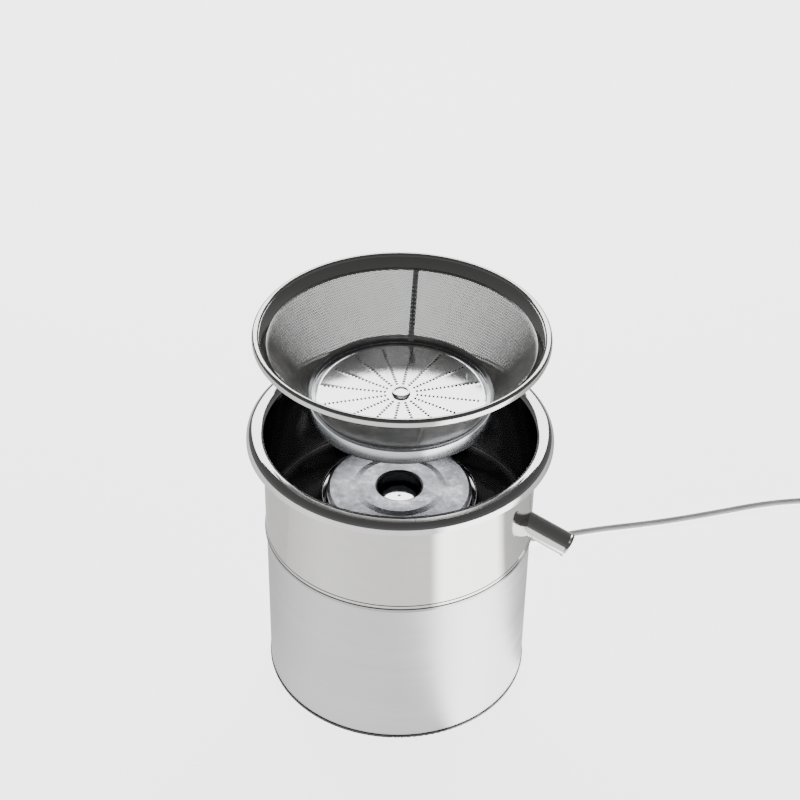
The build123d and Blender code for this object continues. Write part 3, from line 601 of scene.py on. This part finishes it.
def spout_matrix(distance):
    """Frame on the spout axis, distance in mm outside the wall, +Z outward."""
    d = Vector((math.cos(SPOUT_AZ) * math.cos(SPOUT_SLOPE), math.sin(SPOUT_AZ) * math.cos(SPOUT_SLOPE),
                -math.sin(SPOUT_SLOPE)))
    start = Vector((SKIN_R * math.cos(SPOUT_AZ), SKIN_R * math.sin(SPOUT_AZ), SPOUT_Z)) * MM
    turn = d.to_track_quat("Z", "Y").to_matrix().to_4x4()
    return Matrix.Translation(start + d * distance * MM) @ turn


def build_spout():
    """Pipe with a rolled lip, cut to the curve of the bowl at its inner end."""
    lip = SPOUT_R + 0.6
    outline = rounded([
        (SPOUT_BORE_R, -7.0), (SPOUT_R, -7.0), (SPOUT_R, SPOUT_LONG - 2.8), (lip, SPOUT_LONG - 2.0),
        (lip, SPOUT_LONG), (SPOUT_BORE_R, SPOUT_LONG),
    ], [0, 0, 0.5, 0.6, 0.7, 0.7], 5)
    spout = lathe("spout_pipe", outline, "spout", 96)
    spout.data.transform(spout_matrix(0.0))
    drum = bpy.data.meshes.new("cutter")
    bm = bmesh.new()
    r = (BOWL_R + 1.02) * MM
    bmesh.ops.create_cone(bm, cap_ends=True, segments=256, radius1=r, radius2=r, depth=80 * MM)
    bm.to_mesh(drum)
    bm.free()
    subtract(spout, drum, Matrix.Translation((0, 0, SPOUT_Z * MM)))
    place(spout, "base", "polished_steel", "spout_tube")


# ---- turntable ----------------------------------------------------------------
def build_turntable():
    """Cast plate with a low ring round its socket."""
    hub = 23.0
    outline = rounded([
        (SPINDLE_R, 157.0), (hub, 157.0), (hub, 173.0), (TABLE_R - 1.5, 173.0),
        (TABLE_R, 174.5), (TABLE_R, TABLE_TOP - 0.9), (TABLE_R - 2.4, TABLE_TOP),
        (37.0, TABLE_TOP + 0.2), (32.0, TABLE_TOP + 0.9), (19.4, TABLE_TOP + 0.8),
        (SOCKET_R, TABLE_TOP - 0.4), (SOCKET_R, CAP_Z), (SPINDLE_R, CAP_Z),
    ], [0, 0.5, 0.5, 0.5, 0.8, 0.5, 0.7, 2.6, 2.6, 1.8, 1.4, 1.0, 0], 6)
    place(lathe("turntable_plate", outline, "cast"), "rotor", "cast_aluminium", "turntable")


def build_spindle_cap():
    """Low domed cap at the foot of the socket, with a small centre hole."""
    outline = [(SPINDLE_R, CAP_Z), (CAP_R, CAP_Z)]
    outline += rounded([(CAP_R, 162.0), (CAP_R, 169.4), (12.9, 169.75)], [0, 0.7, 0])
    outline += [(10.0, 169.95), (7.0, 170.15), (SPINDLE_R, 170.28), (1.5, 170.35)]
    outline += [(1.3, 170.1), (1.3, 167.0), (0.0, 167.0), (0.0, 165.2), (SPINDLE_R, 165.2)]
    cap = lathe("spindle_nut", outline, "cap", 96)
    place(cap, "rotor", "polished_steel", "spindle_cap")


# ---- sieve basket -------------------------------------------------------------
def cone_r(dz, extra=0.0):
    """Radius of the sieve cone at height dz, plus extra."""
    slope = (CONE_TOP[0] - CONE_LOW[0]) / (CONE_TOP[1] - CONE_LOW[1])
    return CONE_TOP[0] + (dz - CONE_TOP[1]) * slope + extra


def build_basket_lip():
    """Flared lip with a rolled edge that holds the top of the sieve sheet."""
    low = CONE_TOP[1]
    lip = [(CONE_TOP[0], low), (106.2, -2.2)]
    lip += arc(109.2, -2.6, 2.6, 165, 0, 16)
    lip += arc(110.2, -4.8, 1.6, 0, -90, 6)
    lip += [(107.4, -6.2), (107.4, -3.4), (CONE_TOP[0] + 1.75, low)]
    lip += [(cone_r(-10.8, 1.7), -10.8), (cone_r(-10.8, 0.95), -10.8), (CONE_TOP[0] + 0.95, -8.85)]
    place(lathe("basket_lip", shift(lip, BASKET_Z), "basket"), "basket", "polished_steel", "basket_rim")


def build_basket_hoop():
    """Plain hoop at the foot of the cone, with a shelf that carries the disc."""
    low, top, shelf = -69.8, -57.6, -58.9
    ring = rounded([
        (70.5, low), (71.6, low), (70.7, -59.4), (70.0, -57.8), (68.5, top), (68.5, -57.02),
        (CONE_LOW[0], -57.02), (67.0, shelf), (58.0, shelf), (58.0, shelf - SHEET),
        (CONE_LOW[0], shelf - SHEET), (70.5, -60.6),
    ], [0.3, 0.4, 1.2, 0.7, 0, 0, 0, 0, 0, 0, 0, 0.6], 5)
    place(lathe("basket_hoop", shift(ring, BASKET_Z), "ring"), "basket", "polished_steel", "basket_ring")


def build_sieve():
    """Two half shells of perforated sheet, with the flat-sheet layout as UVs."""
    run = CONE_TOP[0] - CONE_LOW[0]
    sin_half = run / math.hypot(run, CONE_TOP[1] - CONE_LOW[1])
    bm = bmesh.new()
    uv = bm.loops.layers.uv.new("UVMap")
    spans = [(SEAM_AZ[1], SEAM_AZ[0]), (SEAM_AZ[0], SEAM_AZ[1] + 360.0)]
    steps, rows = 128, 12
    for start, end in spans:
        middle = math.radians((start + end) / 2)
        grid = {}
        for side, extra in ((0, 0.45), (1, 0.75)):
            for i in range(rows + 1):
                top = CONE_TOP[1] - 0.05
                dz = top + (CONE_LOW[1] - top) * i / rows
                r = cone_r(dz, extra)
                for k in range(steps + 1):
                    a = math.radians(start + (end - start) * k / steps)
                    at = Vector((r * math.cos(a), r * math.sin(a), BASKET_Z + dz)) * MM
                    vert = bm.verts.new(at)
                    rho = cone_r(dz) / sin_half * MM
                    phi = (a - middle) * sin_half
                    grid[side, i, k] = (vert, (rho * math.sin(phi), rho * math.cos(phi)))
        for side in (0, 1):
            for i in range(rows):
                for k in range(steps):
                    keys = [(side, i, k), (side, i, k + 1), (side, i + 1, k + 1), (side, i + 1, k)]
                    face = bm.faces.new([grid[key][0] for key in keys])
                    face.smooth = True
                    for loop, key in zip(face.loops, keys):
                        loop[uv].uv = grid[key][1]
        edge_loops = [[(i, 0) for i in range(rows + 1)], [(i, steps) for i in range(rows + 1)],
                      [(0, k) for k in range(steps + 1)], [(rows, k) for k in range(steps + 1)]]
        for line in edge_loops:
            for (i, k), (i2, k2) in zip(line, line[1:]):
                keys = [(0, i, k), (0, i2, k2), (1, i2, k2), (1, i, k)]
                face = bm.faces.new([grid[key][0] for key in keys])
                for loop, key in zip(face.loops, keys):
                    loop[uv].uv = grid[key][1]
    bmesh.ops.recalc_face_normals(bm, faces=bm.faces)
    mesh = bpy.data.meshes.new("sieve_sheet")
    bm.to_mesh(mesh)
    bm.free()
    place(new_object("sieve_sheet", mesh, "mesh"), "basket", "mesh_steel", "sieve_cone")


def build_seams():
    """Lap strip inside each joint, with two columns of spot welds."""
    bm = bmesh.new()
    slope = (CONE_TOP[0] - CONE_LOW[0]) / (CONE_TOP[1] - CONE_LOW[1])
    top, low = CONE_TOP[1] - 1.0, CONE_LOW[1] + 1.0
    rows = 10
    section = [(-2.2, 0.44), (-2.1, -0.05), (-1.8, -0.2), (1.8, -0.2), (2.1, -0.05), (2.2, 0.44)]
    for az in SEAM_AZ:
        a = math.radians(az)
        out = Vector((math.cos(a), math.sin(a), 0))
        side = Vector((-math.sin(a), math.cos(a), 0))
        grid = []
        for i in range(rows + 1):
            dz = top + (low - top) * i / rows
            r = cone_r(dz)
            line = []
            for w, d in section:
                depth = math.sqrt(max(r * r - w * w, 0.0)) + d - 0.04
                line.append(bm.verts.new((out * depth + side * w + Vector((0, 0, BASKET_Z + dz))) * MM))
            grid.append(line)
        for one, two in zip(grid, grid[1:]):
            for k in range(len(section)):
                j = (k + 1) % len(section)
                bm.faces.new((one[k], one[j], two[j], two[k]))
        bm.faces.new(grid[0])
        bm.faces.new(grid[-1])
        normal = (out * -1.0 + Vector((0, 0, slope))).normalized()
        for w in (-1.25, 1.15):
            for k in range(17):
                dz = top - 2.0 + (low - top + 4.0) * k / 16 + rng.uniform(-0.15, 0.15)
                r = math.sqrt(cone_r(dz) ** 2 - w * w) - 0.24
                at = (out * r + side * w + Vector((0, 0, BASKET_Z + dz))) * MM
                turn = normal.to_track_quat("Z", "Y").to_matrix().to_4x4()
                add_spot(bm, Matrix.Translation(at) @ turn, rng.uniform(0.52, 0.66) * MM, 0.16 * MM)
    bmesh.ops.recalc_face_normals(bm, faces=bm.faces)
    mesh = bpy.data.meshes.new("lap_strips")
    bm.to_mesh(mesh)
    bm.free()
    strips = new_object("lap_strips", mesh, "strip")
    mesh.materials.append(MAT["weld"])
    finish_mesh(strips, 40)
    place(strips, "basket", "plain_steel", "seam_strips")


def add_spot(bm, place_at, radius, height):
    """Low dome of a spot weld, closed underneath."""
    n = 10
    rings = [[bm.verts.new(place_at @ Vector((radius * f * math.cos(2 * math.pi * k / n),
                                               radius * f * math.sin(2 * math.pi * k / n), h)))
              for k in range(n)] for f, h in ((1.0, 0.0), (0.8, height * 0.7), (0.35, height))]
    for one, two in zip(rings, rings[1:]):
        for k in range(n):
            j = (k + 1) % n
            bm.faces.new((one[k], one[j], two[j], two[k])).material_index = 1
    bm.faces.new(rings[-1]).material_index = 1
    bm.faces.new(rings[0]).material_index = 1


def add_tooth(bm, place_at, length, width, height):
    """One punched tooth: a half-dome hood and the hole before it, with the hood's mouth and the hole
    closed by near-black faces as painted shade.
    """
    n, rings = 8, 4
    verts = {}
    for i in range(rings + 1):
        f = i / rings * 0.97
        w = width / 2 * math.cos(f * math.pi / 2)
        h = height * math.cos(f * math.pi / 2)
        for k in range(n + 1):
            a = math.pi * k / n
            p = Vector((length * math.sin(f * math.pi / 2), w * math.cos(a), h * math.sin(a) - 0.02 * MM))
            verts[i, k] = bm.verts.new(place_at @ p)
    for i in range(rings):
        for k in range(n):
            face = bm.faces.new((verts[i, k], verts[i + 1, k], verts[i + 1, k + 1], verts[i, k + 1]))
            face.smooth = True
            face.material_index = 2
    # near-black face across the hood's mouth: painted shade inside the hood
    mouth = bm.faces.new([verts[0, k] for k in range(n + 1)])
    mouth.material_index = 1
    back = bm.faces.new([verts[rings, k] for k in range(n + 1)])
    back.material_index = 2
    pit = []
    sides = 14
    for k in range(sides):
        a = 2 * math.pi * k / sides
        pit.append((-length * 0.36 + length * 0.46 * math.cos(a), width * 0.52 * math.sin(a)))
    # the hole is a near-black cap just above the sheet over a near-black floor: painted shade, not a cut
    # through the sheet
    up = [bm.verts.new(place_at @ Vector((u, v, 0.05 * MM))) for u, v in pit]
    down = [bm.verts.new(place_at @ Vector((u, v, -0.3 * MM))) for u, v in pit]
    bm.faces.new(up).material_index = 1
    bm.faces.new(down[::-1]).material_index = 1
    for k in range(sides):
        j = (k + 1) % sides
        bm.faces.new((up[k], down[k], down[j], up[j])).material_index = 2


def build_disc():
    z = BASKET_Z + DISC_DZ
    outline = [(0.0, z - 0.15), (62.6, z - 0.15)]
    outline += rounded([(62.8, z - 0.15), (63.6, z), (65.4, z - 0.1), (65.4, z - 1.2)], [0, 0.4, 0.4, 0])
    outline += [(0.0, z - 1.2)]
    plate = lathe("grater_plate", outline, "disc", 192, closed=False, sharp=40)
    bm = bmesh.new()
    bm.from_mesh(plate.data)
    top = (z - 0.15) * MM
    for row in range(TOOTH_ROWS):
        base = math.radians(360.0 * row / TOOTH_ROWS + TOOTH_START)
        for k in range(TEETH_PER_ROW):
            r = FIRST_TOOTH_R + TOOTH_PITCH * k
            turn = Matrix.Rotation(base, 4, "Z")
            spot = turn @ Matrix.Translation((r * MM, rng.uniform(-0.06, 0.06) * MM, top))
            spot = spot @ Matrix.Rotation(math.radians(90 + rng.uniform(-6, 6)), 4, "Z")
            add_tooth(bm, spot, 1.4 * MM, 1.8 * MM, 0.8 * MM)
    bm.to_mesh(plate.data)
    bm.free()
    # near-black for the tooth mouths and holes: painted shade
    plate.data.materials.append(MAT["hole"])
    plate.data.materials.append(MAT["tooth"])
    plate.data.set_sharp_from_angle(angle=math.radians(50))
    place(plate, "basket", "polished_steel", "grater_disc")

    build_disc_boss(z)


def build_disc_boss(z):
    """Shallow cup pressed up in the middle of the disc, whose top is at z."""
    boss = [(0.0, z + 1.2), (4.9, z + 1.2)]
    boss += rounded([(5.0, z + 1.2), (5.3, z + 2.1), (6.6, z + 2.0), (7.2, z - 0.2)], [0, 0.4, 0.6, 0])
    boss += [(0.0, z - 0.2)]
    cap = lathe("centre_cap", boss, "disc", 64, closed=False)
    place(cap, "basket", "polished_steel", "disc_boss")


# ---- cord ---------------------------------------------------------------------
def cord_points():
    """Route from the strain relief to the coil, listed in mm."""
    out = (math.cos(CORD_EXIT_AZ), math.sin(CORD_EXIT_AZ))
    exit_r = DRUM_R + 32.0
    exit_z = 17.0
    rest = CORD_D / 2
    return [
        (out[0] * exit_r, out[1] * exit_r, exit_z),
        (out[0] * (exit_r + 24), out[1] * (exit_r + 24), exit_z),
        (126.0, 142.0, rest + 2.0), (176.0, 160.0, rest), (236.0, 172.0, rest), (292.0, 188.0, rest),
        (342.0, 204.0, rest), (389.0, 211.0, rest),
    ]


def ease(f, a, b):
    """0 before a, 1 after b, and a smooth rise between them."""
    t = min(1.0, max(0.0, (f - a) / (b - a)))
    return t * t * (3 - 2 * t)


def build_cord():
    """The whole free cord as one line: run, four and a quarter turns, tail."""
    rest = CORD_D / 2
    cx, cy = COIL_AT
    pts = cord_points()
    per_turn = 28
    for k in range(int(per_turn * COIL_TURNS) + 1):
        f = k / per_turn
        a = math.radians(-90.0 + 360.0 * f)
        r = TURN_R + rest - CORD_D * (ease(f, 0.70, 0.95) - ease(f, 2.48, 2.72))
        z = rest + CORD_D * (ease(f, 1.58, 1.82) + ease(f, 3.38, 3.62))
        pts.append((cx + r * math.cos(a), cy + r * math.sin(a), z))
    x = cx + TURN_R + rest
    pts += [(x + 1.5, cy + 24.2, 6.85), (x + 5.0, cy + 48.0, 6.85)]
    curve = bpy.data.curves.new("mains_flex", "CURVE")
    curve.dimensions = "3D"
    spline = curve.splines.new("NURBS")
    spline.points.add(len(pts) - 1)
    for sp, p in zip(spline.points, pts):
        sp.co = (p[0] * MM, p[1] * MM, p[2] * MM, 1.0)
    spline.order_u = 3
    spline.use_endpoint_u = True
    curve.resolution_u = 8
    curve.bevel_depth = rest * MM
    curve.bevel_resolution = 6
    curve.use_fill_caps = True
    obj = bpy.data.objects.new("mains_flex", curve)
    bpy.context.scene.collection.objects.link(obj)
    curve.materials.append(MAT["cord"])
    place(obj, "base", "cord_grey", "mains_cord", "cord_coil", "cord_tail")
    return obj, pts


# ---- floor, light, camera -----------------------------------------------------
FLOOR_HALF = 9.0


def flat_plane(name, size, height):
    """Square of the stage, size metres from its middle to each side."""
    mesh = bpy.data.meshes.new(name)
    corners = [(-size, -size, height), (size, -size, height), (size, size, height), (-size, size, height)]
    mesh.from_pydata(corners, [], [(0, 1, 2, 3)])
    obj = bpy.data.objects.new(name, mesh)
    bpy.context.scene.collection.objects.link(obj)
    return obj


def build_floor():
    """Pale floor that evens out the light round the juicer."""
    floor = flat_plane("studio_floor", FLOOR_HALF, 0.0)
    s = Shader("floor_paint")
    s.set(color=(0.86, 0.86, 0.865, 1), rough=0.7)
    s.bsdf.inputs["Emission Color"].default_value = (1, 1, 1, 1)
    s.bsdf.inputs["Emission Strength"].default_value = 3.3
    floor.data.materials.append(s.mat)
    floor.visible_glossy = False


def build_bounce_card():
    """Card just under the floor that only the steel's reflections see.

    Its glow changes round the juicer, which gives the walls their bands.
    """
    card = flat_plane("bounce_card", FLOOR_HALF, -0.0005)
    s = Shader("card_paint")
    x, y, _ = s.split(s.coords())
    turn = s.span(s.math("ARCTAN2", y, x), -math.pi, math.pi, 0.0, 1.0)
    stops = [(0.00, 1.55), (0.10, 2.0), (0.25, 1.75), (0.315, 1.8), (0.338, 6.5), (0.465, 6.5),
             (0.49, 1.3), (0.62, 0.9), (0.80, 1.0), (0.94, 1.4)]
    full = 10.0
    glow = s.ramp(turn, *[(p, (v / full,) * 3) for p, v in stops])
    e = s.tree.nodes.new("ShaderNodeEmission")
    s.link(glow, e.inputs[0])
    e.inputs[1].default_value = full
    s.link(e.outputs[0], s.out.inputs["Surface"])
    card.data.materials.append(s.mat)
    card.visible_camera = False
    card.visible_diffuse = False
    card.visible_shadow = False
    card.visible_transmission = False


def build_world():
    """Dim surround that is a little lighter near the horizon."""
    world = bpy.data.worlds.new("studio")
    bpy.context.scene.world = world
    world.use_nodes = True
    tree = world.node_tree
    tree.nodes.clear()
    out = tree.nodes.new("ShaderNodeOutputWorld")
    back = tree.nodes.new("ShaderNodeBackground")
    tree.links.new(back.outputs[0], out.inputs[0])
    gen = tree.nodes.new("ShaderNodeTexCoord").outputs["Generated"]
    sep = tree.nodes.new("ShaderNodeSeparateXYZ")
    tree.links.new(gen, sep.inputs[0])
    ramp = tree.nodes.new("ShaderNodeValToRGB")
    tree.links.new(sep.outputs[2], ramp.inputs[0])
    stops = [(0.0, 0.20), (0.18, 0.18), (0.5, 0.12), (1.0, 0.09)]
    elements = ramp.color_ramp.elements
    while len(elements) < len(stops):
        elements.new(0.5)
    for e, (pos, v) in zip(elements, stops):
        e.position = pos
        e.color = (v, v, v, 1)
    tree.links.new(ramp.outputs[0], back.inputs[0])
    back.inputs[1].default_value = 1.0


def lamp(name, where, size, radiance, target=(0, 0, 0.22)):
    """Rectangular softbox that glows evenly, aimed at the juicer."""
    light = bpy.data.lights.new(name, "AREA")
    light.shape = "RECTANGLE"
    light.size, light.size_y = size
    light.energy = radiance * math.pi * size[0] * size[1]
    obj = bpy.data.objects.new(name, light)
    bpy.context.scene.collection.objects.link(obj)
    obj.location = where
    obj.rotation_euler = (Vector(target) - Vector(where)).to_track_quat("-Z", "Y").to_euler()


def build_stage():
    build_floor()
    build_bounce_card()
    build_world()
    lamp("softbox_back", (-0.05, 1.35, 1.12), (2.05, 0.85), 5.2)


def build_camera():
    """Long lens looking down at the juicer, with a slight roll."""
    cam = bpy.data.cameras.new("camera")
    cam.sensor_width = 36.0
    cam.lens = 82.5
    cam.shift_x = -0.015
    obj = bpy.data.objects.new("camera", cam)
    bpy.context.scene.collection.objects.link(obj)
    look = Matrix.Rotation(math.radians(90.0 - 36.51), 4, "X")
    roll = Matrix.Rotation(math.radians(1.31), 4, "Z")
    obj.matrix_world = Matrix.Translation((0.0084, -1.1245, 1.0972)) @ look @ roll
    bpy.context.scene.camera = obj


def dress_cad_nodes():
    """Give every CAD node the material of its slot."""
    slots = {part["node"]: part["material_slot"] for part in frame["record"]["subparts"]}
    for name, node in frame["nodes"].items():
        if name in slots:
            node.data.materials.clear()
            node.data.materials.append(MAT[SLOT_LOOK[slots[name]]])


def main():
    dress_cad_nodes()
    build_lower_drum()
    build_seam_bead()
    build_upper_skin()
    build_bowl_roll()
    build_collector()
    build_spout()
    build_turntable()
    build_spindle_cap()
    build_basket_lip()
    build_sieve()
    build_seams()
    build_basket_hoop()
    build_disc()
    flex, pts = build_cord()
    build_stage()
    build_camera()


main()
